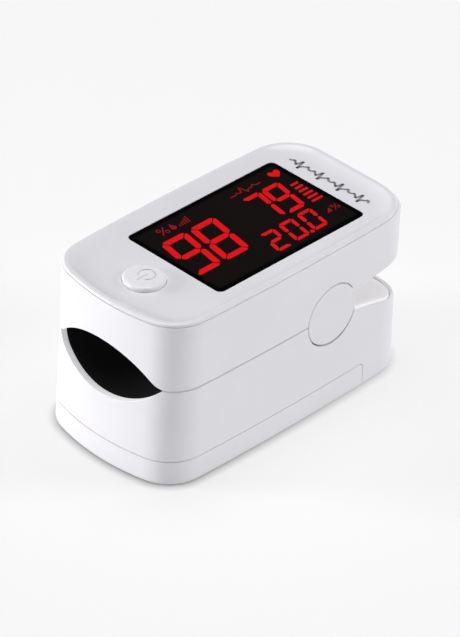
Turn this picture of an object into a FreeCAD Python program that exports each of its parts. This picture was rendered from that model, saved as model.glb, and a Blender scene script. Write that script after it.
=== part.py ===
import FreeCAD, Part
import math
import os

# Fingertip pulse oximeter: a clip of two sprung jaws, a display in the upper one, two AAA cells in the lower.
# Millimetres. X across, Y lengthwise with the finger going in at -Y, Z up. Origin: the middle of the base.

V = FreeCAD.Vector
X_AXIS = V(1, 0, 0)
Y_AXIS = V(0, 1, 0)
Z_AXIS = V(0, 0, 1)

# Casing in plan: four gentle bows joined by round corners
LENGTH = 60.0
WIDTH = 31.5
FRONT_BOW = 3.2
REAR_BOW = 0.2
SIDE_BOW = 0.8
FRONT_CORNER = 7.3
REAR_CORNER = 7.6
UPPER_CORNERS = (7.3, 7.0)  # front and rear corners of the upper shell
PANEL_CORNERS = (7.3, 8.3)  # and of the top panel, set in from the shell at the rear
FLARE = 0.45            # how far the lower shell widens, each side, by the time it reaches the base

# Heights
PARTING_Z = 19.0
SEAM = 0.14             # gap between the jaws when the clip is shut
WALL_TOP_Z = 31.77
PANEL_EDGE_Z = 31.89    # underside of the top panel's overhang: the seam under it is the gap to WALL_TOP_Z
PANEL_CREST_Z = 32.4
PANEL_FLAT_Z = 31.8
PANEL_UNDER_Z = 30.6

# The panel's hollow from its flat up to its rim, as (distance in from the casing's widest, height)
PANEL_DISH = [(3.9, 31.8), (3.4, 31.83), (2.9, 31.89), (2.4, 31.99), (1.9, 32.13), (1.15, 32.4), (1.15, 33.4)]

WALL = 1.4
EDGE_BREAK = 0.14       # small chamfer along moulded edges
BASE_ROUND = 0.8
SHOULDER = 0.3          # rounding along the top of the upper shell, just outside the panel
FIT = 0.1               # assembly gap between parts that are fixed together
RIM_DROP = 0.15         # how far the lower shell's rim lies below the thumb deck
RIM_ROUND = 0.8
DECK_EDGE = 0.5         # thickness of the thumb deck where it reaches the sides
DECK_SEAM = 0.1

# Hinge
HINGE_Y = 9.2
AXLE_R = 1.0
AXLE_HALF = 13.85
CAP_R = 5.75
NOTCH_R = 6.0
CAP_INNER_X = 13.95
CAP_OUTER_X = 15.66
EAR_X = (12.45, 13.95)
ARM_X = (10.4, 11.9)
ARM_R = 2.4
EAR_R = 3.0
SPRING_X = 4.6          # inner end of each torsion spring

# Finger channel: the upper arch and the lower trough are cylinders along Y
ARCH_R = 15.5
ARCH_Z = 8.85
ARCH_FLARE_R = 5.0      # rounding where the arch runs out into the parting line
TROUGH_R = 15.8
TROUGH_Z = 29.3
PAD_T = 0.9
LINER_T = 1.0
CRADLE_T = 0.7          # liner under the trough, over the cells
PAD_GAP = 0.05
LIP = 1.05              # width of the lower shell's lip in front of the lower pad
CHANNEL_END_Y = 4.2     # fingertip stop
MOUTH_CUT_Y = -20.0

# Window, button
WINDOW_HALF = 11.17
WINDOW_Y = (-14.0, 21.3)
WINDOW_CORNER = 1.2
WINDOW_LEDGE = 0.7
LENS_Z = (30.95, 31.77)
BUTTON_Y = -20.55
BUTTON_R = 3.7
BUTTON_RISE = 0.85
BUTTON_GAP = 0.08
BUTTON_FLANGE_R = 4.5
BUTTON_ROUND = 0.5
SYMBOL_DEPTH = 0.14

# Main board and what is on it
BOARD_Z = (27.0, 28.0)
BOARD_HALF = 10.1
BOARD_Y = (-25.0, 24.0)
OPTIC_Y = (-8.5, -4.5)  # the emitter above and the photodiode below face each other here
OPTIC_HALF = 2.2

# Cells, bay and cover
CELL_R = 5.25
CELL_LENGTH = 43.6
NIPPLE_R = 1.9
NIPPLE_LENGTH = 0.9
CELL_X = 5.6
CELL_Z = 6.85
BAY_HALF = 11.25
BAY_Y = (-25.9, 22.2)
BAY_T = 0.9
CONTACT_T = 0.3
CONTACT_Y = (BAY_Y[0] + 0.35, BAY_Y[1] - 0.35)  # inner faces of the contact plates
BAY_Z = (1.6, 11.8)
COVER_TOP_Z = 4.8
COVER_REAR_Y = 17.9
COVER_GAP = 0.13
COVER_FLOOR = 1.2
COVER_WALL = 1.2
RAIL_Y = (-19.0, 15.5)

# Screws: (x, y, height of the head's underside), each also mirrored to -x
UPPER_SCREWS = [(12.2, -16.5, 21.45), (12.2, 18.0, 22.85)]
HEAD_T = 0.7
SHANK_R = 0.82
LOWER_SCREWS = [(9.4, 25.4)]

FAR = 40.0              # anything beyond the casing


# ---- shared shapes ----

def block(x, y, z):
    """Box from three (low, high) pairs."""
    return Part.makeBox(x[1] - x[0], y[1] - y[0], z[1] - z[0], V(x[0], y[0], z[0]))


def rod_x(radius, x, y, z):
    return Part.makeCylinder(radius, x[1] - x[0], V(x[0], y, z), X_AXIS)


def rod_y(radius, x, y, z):
    return Part.makeCylinder(radius, y[1] - y[0], V(x, y[0], z), Y_AXIS)


def rod_z(radius, x, y, z):
    return Part.makeCylinder(radius, z[1] - z[0], V(x, y, z[0]), Z_AXIS)


def mirrored(shape):
    return shape.mirror(V(0, 0, 0), X_AXIS)


def both(shape):
    return [shape, mirrored(shape)]


def fused(shapes):
    return shapes[0].multiFuse(shapes[1:]).removeSplitter()


def bow_radius(half_chord, sagitta):
    return (half_chord ** 2 + sagitta ** 2) / (2 * sagitta)


FRONT_R = bow_radius(WIDTH / 2, FRONT_BOW)
REAR_R = bow_radius(WIDTH / 2, REAR_BOW)
SIDE_R = bow_radius(LENGTH / 2, SIDE_BOW)
FRONT_C = V(0, FRONT_R - LENGTH / 2, 0)
REAR_C = V(0, LENGTH / 2 - REAR_R, 0)
SIDE_C = V(WIDTH / 2 - SIDE_R, 0, 0)


def corner_centre(bow_c, bow_r, corner_r, end):
    """Centre of the arc that is tangent inside both the right side and an end bow (end is -1 front, +1 rear)."""
    a = bow_r - corner_r
    b = SIDE_R - corner_r
    span = SIDE_C - bow_c
    along = (a * a - b * b + span.Length ** 2) / (2 * span.Length)
    off = math.sqrt(a * a - along * along)
    unit = span / span.Length
    normal = V(-unit.y, unit.x, 0)
    found = [bow_c + unit * along + normal * off * sign for sign in (-1, 1)]
    return max(found, key=lambda c: c.x + end * c.y)


def toward(centre, target, radius):
    """Point on the circle about centre, on the ray from centre through target."""
    ray = target - centre
    return centre + ray * (radius / ray.Length)


def plan_wire(inset, z, corners=(FRONT_CORNER, REAR_CORNER)):
    """Closed plan outline of the casing, drawn in from its widest by inset, at height z."""
    front = FRONT_R - inset
    rear = REAR_R - inset
    side = SIDE_R - inset
    front_corner_c = corner_centre(FRONT_C, FRONT_R, corners[0], -1)
    rear_corner_c = corner_centre(REAR_C, REAR_R, corners[1], 1)
    a = toward(FRONT_C, front_corner_c, front)
    c = toward(SIDE_C, front_corner_c, side)
    b = toward(front_corner_c, (a + c) / 2, corners[0] - inset)
    d = SIDE_C + X_AXIS * side
    e = toward(SIDE_C, rear_corner_c, side)
    g = toward(REAR_C, rear_corner_c, rear)
    f = toward(rear_corner_c, (e + g) / 2, corners[1] - inset)
    front_mid = FRONT_C - Y_AXIS * front
    rear_mid = REAR_C + Y_AXIS * rear

    def flip(p):
        return V(-p.x, p.y, p.z)

    arcs = [
        (flip(a), front_mid, a),
        (a, b, c),
        (c, d, e),
        (e, f, g),
        (g, rear_mid, flip(g)),
        (flip(g), flip(f), flip(e)),
        (flip(e), flip(d), flip(c)),
        (flip(c), flip(b), flip(a)),
    ]
    edges = [Part.Arc(*arc).toShape() for arc in arcs]
    wire = Part.Wire(edges)
    wire.translate(V(0, 0, z))
    return wire


def prism(inset, z, corners=(FRONT_CORNER, REAR_CORNER)):
    """Upright solid over the plan outline."""
    face = Part.Face(plan_wire(inset, z[0], corners))
    return face.extrude(V(0, 0, z[1] - z[0]))


def stack(sections, corners=(FRONT_CORNER, REAR_CORNER)):
    """Solid through plan outlines given as (inset, z), straight between one and the next."""
    wires = [plan_wire(inset, z, corners) for inset, z in sections]
    return Part.makeLoft(wires, True, True)


def edges_at(shape, z):
    return [e for e in shape.Edges if abs(e.BoundBox.ZMin - z) < 1e-4 and abs(e.BoundBox.ZMax - z) < 1e-4]


def side_solid(edges, x):
    """Solid from a closed profile drawn in the YZ plane, extruded across x."""
    face = Part.Face(Part.Wire(edges))
    solid = face.extrude(V(x[1] - x[0], 0, 0))
    solid.translate(V(x[0], 0, 0))
    return solid


def yz(y, z):
    return V(0, y, z)


def line(p, q):
    return Part.LineSegment(p, q).toShape()


def polyline(points):
    return [line(p, q) for p, q in zip(points[:-1], points[1:])]


def below_flared(inset_base, inset_parting, z):
    """The lower casing's flared inside or outside, between two heights."""
    slope = (inset_parting - inset_base) / PARTING_Z
    low, high = z
    return stack([(inset_base + slope * low, low), (inset_base + slope * high, high)])


# ---- edges of the tail, seen from the side ----

UPPER_TAIL = (yz(13.0, 21.65), yz(20.0, 21.95), yz(32.0, 23.5))
LOWER_TAIL = (yz(13.0, 18.0), yz(21.0, 16.4), yz(32.0, 12.4))


def tail_edge(points, lift):
    return Part.Arc(*[p + V(0, 0, lift) for p in points]).toShape()


def below_upper_tail(lift=0.0, x=(-FAR, FAR)):
    """Everything under the upper jaw's tail edge, raised by lift."""
    first, _, last = [p + V(0, 0, lift) for p in UPPER_TAIL]
    closing = polyline([last, yz(last.y, 10), yz(HINGE_Y, 10), yz(HINGE_Y, PARTING_Z + lift), first])
    return side_solid([tail_edge(UPPER_TAIL, lift)] + closing, x)


def above_lower_tail(lift=0.0, x=(-FAR, FAR)):
    """Everything over the lower jaw's tail edge, raised by lift."""
    first, _, last = [p + V(0, 0, lift) for p in LOWER_TAIL]
    closing = polyline([last, yz(last.y, 30), yz(HINGE_Y, 30), yz(HINGE_Y, PARTING_Z + lift), first])
    return side_solid([tail_edge(LOWER_TAIL, lift)] + closing, x)


def arch(radius, y, centre_z=ARCH_Z):
    return rod_y(radius, 0, y, centre_z)


def trough(radius, y):
    return arch(radius, y, TROUGH_Z)


def mouth_cutter():
    """Opening in the front of the upper shell: the arch, flared at its feet into the parting line."""
    foot_z = PARTING_Z
    flare_z = foot_z + ARCH_FLARE_R
    flare_x = math.sqrt((ARCH_R + ARCH_FLARE_R) ** 2 - (flare_z - ARCH_Z) ** 2)
    reach = ARCH_R / (ARCH_R + ARCH_FLARE_R)
    joint = V(flare_x * reach, 0, ARCH_Z + (flare_z - ARCH_Z) * reach)
    foot = V(flare_x, 0, foot_z)
    middle = (joint + foot) / 2 - V(flare_x, 0, flare_z)
    bend = V(flare_x, 0, flare_z) + middle * (ARCH_FLARE_R / middle.Length)
    crown = V(0, 0, ARCH_Z + ARCH_R)
    drop = V(0, 0, 2)

    def flip(p):
        return V(-p.x, p.y, p.z)

    edges = [
        Part.Arc(foot, bend, joint).toShape(),
        Part.Arc(joint, crown, flip(joint)).toShape(),
        Part.Arc(flip(joint), flip(bend), flip(foot)).toShape(),
        line(flip(foot), flip(foot) - drop),
        line(flip(foot) - drop, foot - drop),
        line(foot - drop, foot),
    ]
    face = Part.Face(Part.Wire(edges))
    cutter = face.extrude(V(0, FAR, 0))
    cutter.translate(V(0, MOUTH_CUT_Y - FAR, 0))
    return cutter


def hinge_disc(radius, x):
    """A round space about the hinge axis, on both sides."""
    return both(rod_x(radius, x, HINGE_Y, PARTING_Z))


def rounded_block(x, y, z, radius):
    solid = block(x, y, z)
    upright = [e for e in solid.Edges if e.BoundBox.ZLength > z[1] - z[0] - 1e-4]
    return solid.makeFillet(radius, upright)


# ---- upper jaw: casing ----

def screw_boss(x, y, z):
    """Post that takes a screw, with a web out to the side wall."""
    post = rod_z(2.0, x, y, z)
    web = block((x, x + 2.1), (y - 0.6, y + 0.6), z)
    return fused([post, web])


def upper_shell():
    outer = stack([
        (EDGE_BREAK, PARTING_Z + SEAM / 2),
        (0, PARTING_Z + SEAM / 2 + EDGE_BREAK),
        (0, WALL_TOP_Z),
    ], UPPER_CORNERS)
    outer = outer.makeFillet(SHOULDER, edges_at(outer, WALL_TOP_Z))
    shell = outer.cut(prism(WALL, (PARTING_Z - 1, WALL_TOP_Z + 1)))
    posts = []
    for x, y, head_z in UPPER_SCREWS:
        posts += both(screw_boss(x, y, (head_z + HEAD_T + 0.95, PANEL_UNDER_Z - 1.2)))
    for y in (-9.0, 6.0):
        posts += both(block((9.6, 14.8), (y - 1.2, y + 1.2), (BOARD_Z[0] - 1.0, BOARD_Z[0])))
    inside = prism(WALL / 2, (PARTING_Z, WALL_TOP_Z))
    shell = fused([shell] + [post.common(inside) for post in posts])
    holes = []
    for x, y, head_z in UPPER_SCREWS:
        holes += both(rod_z(SHANK_R + 0.04, x, y, (head_z, head_z + 6.0)))
    notches = hinge_disc(NOTCH_R, (WIDTH / 2 - WALL - 1.5, FAR))
    return shell.cut([mouth_cutter(), below_upper_tail()] + notches + holes)


def window_opening(grow, z):
    x = WINDOW_HALF + grow
    return rounded_block((-x, x), (WINDOW_Y[0] - grow, WINDOW_Y[1] + grow), z, WINDOW_CORNER + grow)


def top_panel():
    lid = prism(0.2, (PANEL_EDGE_Z, PANEL_CREST_Z), PANEL_CORNERS)
    lid = lid.makeFillet(0.42, edges_at(lid, PANEL_CREST_Z))
    step = prism(0.85, (WALL_TOP_Z, PANEL_EDGE_Z), PANEL_CORNERS)
    plug = prism(WALL + FIT, (PANEL_UNDER_Z, WALL_TOP_Z))
    skirt = prism(WALL + FIT, (PANEL_UNDER_Z - 1.0, PANEL_UNDER_Z)).cut(
        prism(WALL + FIT + 0.8, (PANEL_UNDER_Z - 1.1, PANEL_UNDER_Z)))
    panel = fused([lid, step, plug, skirt]).cut(stack(PANEL_DISH, PANEL_CORNERS))
    openings = [
        window_opening(0, (LENS_Z[0], PANEL_FLAT_Z + 1)),
        window_opening(-WINDOW_LEDGE, (PANEL_UNDER_Z - 1, LENS_Z[1])),
        rod_z(BUTTON_R + BUTTON_GAP, 0, BUTTON_Y, (PANEL_UNDER_Z - 1, PANEL_FLAT_Z + 1)),
    ]
    return panel.cut(openings)


def display_window():
    lens = window_opening(-0.06, LENS_Z)
    return lens.makeFillet(0.08, edges_at(lens, LENS_Z[1]))


def upper_inner_shell():
    """Liner of the upper jaw: the arch over the finger, the roof over the hinge and the two hinge arms."""
    inset = WALL + FIT
    outer_r = ARCH_R + PAD_T + PAD_GAP + LINER_T
    inner_r = outer_r - LINER_T
    front_y = -FAR
    wall_y = (CHANNEL_END_Y + PAD_T + PAD_GAP, CHANNEL_END_Y + PAD_T + PAD_GAP + LINER_T)
    vault = arch(outer_r, (front_y, wall_y[1])).cut(arch(inner_r, (front_y, wall_y[0])))
    flange = block((-FAR, FAR), (front_y, wall_y[1]), (19.97, 20.97)).cut(arch(outer_r - 0.1, (front_y, FAR)))
    casing = prism(inset, (19.97, 27.0))
    vault = fused([vault, flange]).common(casing)
    roof_under = 22.6
    bottom = Part.Arc(yz(14.0, roof_under), yz(21.0, 22.85), yz(FAR, 25.0)).toShape()
    roof = side_solid([
        line(yz(wall_y[0], roof_under), yz(14.0, roof_under)),
        bottom,
        line(yz(FAR, 25.0), yz(FAR, 26.2)),
        Part.Arc(yz(FAR, 26.2), yz(21.0, 23.95), yz(14.0, roof_under + LINER_T)).toShape(),
        line(yz(14.0, roof_under + LINER_T), yz(wall_y[0], roof_under + LINER_T)),
        line(yz(wall_y[0], roof_under + LINER_T), yz(wall_y[0], roof_under)),
    ], (-FAR, FAR)).common(prism(inset, (20, 28)))
    arms = both(rod_x(ARM_R, ARM_X, HINGE_Y, PARTING_Z))
    arms += both(block(ARM_X, (HINGE_Y - ARM_R, HINGE_Y + ARM_R), (PARTING_Z, roof_under + 0.5)))
    seats = []
    for x, y, head_z in UPPER_SCREWS:
        seats += both(rod_z(2.25, x, y, (head_z - 1.0, head_z + HEAD_T + 0.85)))
    casing_room = prism(inset, (20, 28))
    liner = fused([vault, roof] + arms + [seat.common(casing_room) for seat in seats])
    cuts = [
        rod_x(AXLE_R + 0.05, (-FAR, FAR), HINGE_Y, PARTING_Z),
        block((-OPTIC_HALF - FIT, OPTIC_HALF + FIT), (OPTIC_Y[0] - FIT, OPTIC_Y[1] + FIT), (22, 28)),
        block((-2.6, 2.6), (6.9, 8.0), (22, 28)),
    ]
    cuts += hinge_disc(NOTCH_R + FIT, (13.7, FAR))
    cuts.append(arch(inner_r, (front_y, CHANNEL_END_Y)))
    for x, y, head_z in UPPER_SCREWS:
        cuts += both(rod_z(SHANK_R + 0.06, x, y, (18.0, 27.0)))
        cuts += both(rod_z(1.6, x, y, (18.0, head_z + HEAD_T)))
    return liner.cut(cuts)


def upper_finger_pad():
    outer_r = ARCH_R + PAD_T
    end_y = CHANNEL_END_Y + PAD_T
    pad = arch(outer_r, (-FAR, end_y)).cut(arch(ARCH_R, (-FAR, CHANNEL_END_Y)))
    flange = block((-FAR, FAR), (-FAR, end_y), (19.1, 19.92)).cut(arch(outer_r - 0.1, (-FAR, FAR)))
    pad = fused([pad, flange]).common(prism(WALL + FIT, (19.1, 26)))
    sides = both(block((13.6, FAR), (2.8, FAR), (18, 26)))
    optic = block((-OPTIC_HALF - FIT, OPTIC_HALF + FIT), (OPTIC_Y[0] - FIT, OPTIC_Y[1] + FIT), (22, 28))
    return pad.cut([optic] + sides)


def upper_screws():
    """Four screws that hold the liner up into the shell's posts."""
    screws = []
    for x, y, head_z in UPPER_SCREWS:
        head = rod_z(1.5, x, y, (head_z, head_z + HEAD_T))
        shank = rod_z(SHANK_R, x, y, (head_z + 0.6, head_z + 5.6))
        slot = cross_slot(x, y, head_z, 0.35)
        screws += both(fused([head, shank]).cut(slot))
    return Part.makeCompound(screws)


def cross_slot(x, y, z, depth):
    arm = 0.85
    half = 0.16
    a = block((x - arm, x + arm), (y - half, y + half), (z - 1, z + depth))
    b = block((x - half, x + half), (y - arm, y + arm), (z - 1, z + depth))
    return fused([a, b])


# ---- upper jaw: electronics ----

def main_board():
    board = rounded_block((-BOARD_HALF, BOARD_HALF), BOARD_Y, BOARD_Z, 1.5)
    holes = []
    for x, y, _ in UPPER_SCREWS:
        holes += both(rod_z(2.3, x, y, (BOARD_Z[0] - 1, BOARD_Z[1] + 1)))
    return board.cut(holes)


def display_module():
    """Segment display block: a reflector body with its row of pins through the board's edge."""
    top_z = PANEL_UNDER_Z - 0.1
    body = block((-9.9, 9.9), (-13.4, 20.6), (BOARD_Z[1] + 0.3, top_z))
    body = body.makeChamfer(0.3, edges_at(body, top_z))
    feet = [block((-9.4, -8.8), (y, y + 0.5), (BOARD_Z[1], BOARD_Z[1] + 0.4)) for y in range(-12, 20, 3)]
    feet += [mirrored(foot) for foot in feet]
    return fused([body] + feet)


def controller_chip():
    body = block((3.9, 8.9), (-22.4, -17.4), (BOARD_Z[1] + 0.1, BOARD_Z[1] + 1.0))
    pins = []
    for i in range(6):
        offset = 0.35 + i * 0.8
        pins.append(block((3.4, 9.4), (-22.4 + offset, -22.1 + offset), (BOARD_Z[1], BOARD_Z[1] + 0.25)))
    dot = rod_z(0.3, 4.6, -21.7, (BOARD_Z[1] + 0.94, BOARD_Z[1] + 2))
    return fused([body] + pins).cut(dot)


def board_components():
    """Small parts on the main board: capacitors, resistors, the crystal and the flat cable's connector."""
    top = BOARD_Z[1]
    parts = []
    for i in range(4):
        y = -23.2 + i * 1.7
        parts.append(block((-8.8, -7.2), (y, y + 0.8), (top, top + 0.55)))
    for i in range(3):
        y = -22.6 + i * 2.2
        parts.append(block((-6.3, -5.3), (y, y + 1.5), (top, top + 0.6)))
    crystal = rounded_block((-9.2, -6.0), (-16.4, -14.9), (top, top + 0.9), 0.6)
    connector = block((-3.2, 3.2), (6.6, 8.4), (BOARD_Z[0] - 1.1, BOARD_Z[0]))
    slot = block((-2.5, 2.5), (7.2, 7.7), (BOARD_Z[0] - 2, BOARD_Z[0] - 0.4))
    parts += [crystal, connector.cut(slot)]
    return Part.makeCompound(parts)


def tact_switch():
    top = BOARD_Z[1]
    body = rounded_block((-2.3, 2.3), (BUTTON_Y - 2.3, BUTTON_Y + 2.3), (top, top + 0.95), 0.4)
    return body.cut(rod_z(1.08, 0, BUTTON_Y, (top + 0.12, top + 2)))


def buzzer():
    can = rod_z(3.9, -4.6, 13.2, (BOARD_Z[0] - 2.5, BOARD_Z[0]))
    can = can.makeFillet(0.3, edges_at(can, BOARD_Z[0] - 2.5))
    return can.cut(rod_z(0.7, -4.6, 13.2, (BOARD_Z[0] - 3, BOARD_Z[0] - 1.8)))


def emitter_board():
    return rounded_block((-3.4, 3.4), (-10.0, -3.0), (26.4, 26.9), 0.6)


def emitter_lens():
    y = OPTIC_Y
    solid = block((-OPTIC_HALF, OPTIC_HALF), y, (23.0, 26.35))
    return solid.cut(arch(ARCH_R + 0.02, (-FAR, FAR)))


# ---- power button ----

def power_button():
    top_z = PANEL_FLAT_Z + BUTTON_RISE
    flange_z = (PANEL_UNDER_Z - 0.65, PANEL_UNDER_Z - 0.1)
    cap = rod_z(BUTTON_R, 0, BUTTON_Y, (flange_z[0], top_z))
    cap = cap.makeFillet(BUTTON_ROUND, edges_at(cap, top_z))
    flange = rod_z(BUTTON_FLANGE_R, 0, BUTTON_Y, flange_z)
    stem = rod_z(1.3, 0, BUTTON_Y, (29.42, flange_z[1]))
    return fused([cap, flange, stem]).cut(power_symbol(top_z))


def power_symbol(top_z):
    """On/off mark sunk in the button: a broken ring with a bar through the break."""
    z = (top_z - SYMBOL_DEPTH, top_z + 1)
    centre_y = BUTTON_Y + 0.55
    half = 0.17
    ring = rod_z(1.45 + half, 0, centre_y, z).cut(rod_z(1.45 - half, 0, centre_y, z))
    opening = block((-0.75, 0.75), (centre_y - 3, centre_y), z)
    bar = block((-half, half), (centre_y - 2.35, centre_y + 0.15), z)
    return Part.makeCompound([ring.cut(opening), bar])


def switch_plunger():
    return rod_z(1.0, 0, BUTTON_Y, (BOARD_Z[1] + 0.62, 29.42))


# ---- lower jaw: casing ----

def lower_outside():
    """Outside of the whole lower jaw, battery cover included."""
    top_z = PARTING_Z - SEAM / 2
    solid = stack([(-FLARE, 0), (0, top_z - EDGE_BREAK), (EDGE_BREAK, top_z)])
    return solid.makeFillet(BASE_ROUND, edges_at(solid, 0))


def tail_rim(shape, lift, after_y):
    """Edges of a shape that lie on the lower tail's slope, raised by lift, behind after_y."""
    rim = []
    for edge in shape.Edges:
        mid = edge.valueAt((edge.FirstParameter + edge.LastParameter) / 2)
        on_slope = abs(mid.z - lift - tail_height(LOWER_TAIL, mid.y)) < 0.05
        if on_slope and mid.y > after_y and edge.Length > 0.5:
            rim.append(edge)
    return rim


def lower_casing():
    """Outside of the lower jaw with its tail sloped off and the slope's rim rounded behind the hinge caps."""
    split_y = 14.5
    solid = lower_outside().cut(above_lower_tail(-RIM_DROP))
    front = solid.common(block((-FAR, FAR), (-FAR, split_y), (-1, FAR)))
    rear = solid.common(block((-FAR, FAR), (split_y, FAR), (-1, FAR)))
    rear = rear.makeFillet(RIM_ROUND, tail_rim(rear, -RIM_DROP, split_y))
    return fused([front, rear])


def cover_space(gap):
    """The room the battery cover takes out of the lower jaw, grown by gap."""
    y = (-FAR, COVER_REAR_Y + gap)
    solid = block((-FAR, FAR), y, (-1, COVER_TOP_Z + gap))
    corner = [e for e in solid.Edges if abs(e.BoundBox.YMin - y[1]) < 1e-4 and e.BoundBox.XLength > FAR
              and e.BoundBox.ZMin > 0]
    return solid.makeFillet(1.0 + gap, corner)


def lower_shell():
    outside = lower_casing()
    floor = 1.4
    hollow_front = below_flared(WALL - FLARE, WALL, (-1, PARTING_Z + 1)).cut(
        block((-FAR, FAR), (COVER_REAR_Y - 0.5, FAR), (-2, floor)))
    tub_x = BAY_HALF + BAY_T
    tub_outer = rounded_block((-tub_x, tub_x), (BAY_Y[0] - BAY_T, BAY_Y[1] + BAY_T), BAY_Z, 1.6)
    tub_inner = block((-BAY_HALF, BAY_HALF), BAY_Y, (-1, BAY_Z[1] + 1))
    rear_floor_cut = block((-BAY_HALF, BAY_HALF), (COVER_REAR_Y + COVER_GAP, BAY_Y[1]), (floor, BAY_Z[1] + 1))
    tub = tub_outer.cut(tub_inner)
    shelf = block((-FAR, FAR), (-FAR, COVER_REAR_Y + 1.4), (COVER_TOP_Z + COVER_GAP, COVER_TOP_Z + 1.0))
    shelf = shelf.common(below_flared(WALL - FLARE - 0.2, WALL - 0.2, (0, 10))).cut(tub_inner)
    step = block((-FAR, FAR), (COVER_REAR_Y + COVER_GAP, COVER_REAR_Y + 1.4), (0.2, COVER_TOP_Z + 1.0))
    step = step.common(below_flared(WALL - FLARE - 0.2, WALL - 0.2, (0, 10))).cut(rear_floor_cut)
    rails = both(block((BAY_HALF + BAY_T - 0.1, 12.95), RAIL_Y, (2.6, 3.3)))
    posts = []
    for x, y in LOWER_SCREWS:
        posts += both(rod_z(2.2, x, y, (0.4, 8.0)))
    casing = outside.cut([hollow_front, cover_space(COVER_GAP)])
    shell = fused([casing, tub, shelf, step] + rails + both(lower_ear()) + posts)
    cuts = [
        trough(TROUGH_R, (-FAR, MOUTH_CUT_Y)),
        trough(TROUGH_R + PAD_T + PAD_GAP, (-FAR, MOUTH_CUT_Y)).common(prism(LIP, (10, 20))),
        above_lower_tail(-RIM_DROP).cut(Part.makeCompound(hinge_disc(NOTCH_R - 0.5, (0, 14.2)))),
        deck_outline(DECK_SEAM, (10, 25)).cut(below_deck(DECK_EDGE + DECK_SEAM)),
        rod_x(AXLE_R + 0.02, (-FAR, FAR), HINGE_Y, PARTING_Z),
    ]
    cuts += hinge_disc(NOTCH_R, (CAP_INNER_X, FAR))
    for x, y in LOWER_SCREWS:
        cuts += both(rod_z(0.9, x, y, (-1, 9)))
        cuts += both(rod_z(1.75, x, y, (-1, 1.3)))
    return shell.cut(cuts)


def lower_ear():
    """Upright that carries one end of the axle, behind the hinge cap."""
    eye = rod_x(EAR_R, EAR_X, HINGE_Y, PARTING_Z)
    upright = block(EAR_X, (HINGE_Y - EAR_R, HINGE_Y + EAR_R), (COVER_TOP_Z + 0.5, PARTING_Z))
    foot = block((EAR_X[0], 15.0), (HINGE_Y - EAR_R, HINGE_Y + EAR_R), (COVER_TOP_Z + 0.5, 12.6))
    return fused([eye, upright, foot])


def deck_outline(grow, z):
    """Plan of the thumb deck on the lower tail: full width at the sides, set in at the rear."""
    corner = 6.4
    x = 15.5 + 2 * grow
    y = (15.25 - grow, 27.8 + grow)
    slab = block((-x, x), (y[0] - 2 * corner, y[1]), z)
    rear = [e for e in slab.Edges if e.BoundBox.ZLength > 1 and e.BoundBox.YMin > y[1] - 0.01]
    slab = slab.makeFillet(corner + grow, rear)
    return slab.common(block((-FAR, FAR), (y[0], FAR), z))


def below_deck(depth):
    """Everything from depth under the thumb deck's surface downwards."""
    top = tail_edge(LOWER_TAIL, -depth)
    first, _, last = [p - V(0, 0, depth) for p in LOWER_TAIL]
    rest = polyline([last, yz(last.y, -1), yz(first.y, -1), first])
    return side_solid([top] + rest, (-FAR, FAR))


def thumb_deck():
    """Sloping deck: a thin plate out to the casing's sides on a thicker plug inside the walls."""
    plate = deck_outline(0, (8, 25)).common(prism(0, (8, 25))).cut(above_lower_tail())
    rounded = plate.makeFillet(0.3, tail_rim(plate, 0, 15.5))
    plug = prism(WALL + FIT, (8, 25)).cut(below_deck(1.2))
    return rounded.cut(below_deck(DECK_EDGE).cut(plug))


def lower_inner_shell():
    """Liner of the lower jaw: the trough under the finger, the hinge well and the thumb deck."""
    inset = WALL + FIT
    inner_r = TROUGH_R + PAD_T + PAD_GAP
    outer_r = inner_r + CRADLE_T
    wall_y = (CHANNEL_END_Y + PAD_T + PAD_GAP, CHANNEL_END_Y + PAD_T + PAD_GAP + LINER_T)
    top_z = 18.05
    cradle = trough(outer_r, (-FAR, wall_y[1])).cut(trough(inner_r, (-FAR, wall_y[0])))
    flange = block((-FAR, FAR), (-FAR, wall_y[1]), (top_z - 1.0, top_z)).cut(trough(outer_r - 0.1, (-FAR, FAR)))
    cradle = fused([cradle, flange]).common(prism(inset, (10, top_z)))
    well = block((-12.25, 12.25), (wall_y[0], 14.6), (15.0, 16.2))
    riser = block((-12.25, 12.25), (14.0, 16.5), (15.0, 16.9)).cut(above_lower_tail(-0.7))
    posts = []
    for x, y in LOWER_SCREWS:
        posts += both(rod_z(1.9, x, y, (8.1, 14.0)))
    liner = fused([cradle, well, riser, thumb_deck()] + posts)
    cuts = [
        rod_x(2.75, (-FAR, FAR), HINGE_Y, PARTING_Z),
        block((-OPTIC_HALF - FIT, OPTIC_HALF + FIT), (OPTIC_Y[0] - FIT, OPTIC_Y[1] + FIT), (8, 18)),
        block((-2.6, 2.6), (6.9, 8.0), (12, 18)),
    ]
    cuts += hinge_disc(NOTCH_R + FIT, (13.7, FAR))
    for x, y in LOWER_SCREWS:
        cuts += both(rod_z(0.84, x, y, (0, 12.0)))
    return liner.cut(cuts)


def tail_height(points, y):
    """Height of a tail edge at y."""
    curve = Part.Arc(*points)
    low, high = curve.FirstParameter, curve.LastParameter
    for _ in range(40):
        mid = (low + high) / 2
        if curve.value(mid).y < y:
            low = mid
        else:
            high = mid
    return curve.value(low).z


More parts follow.
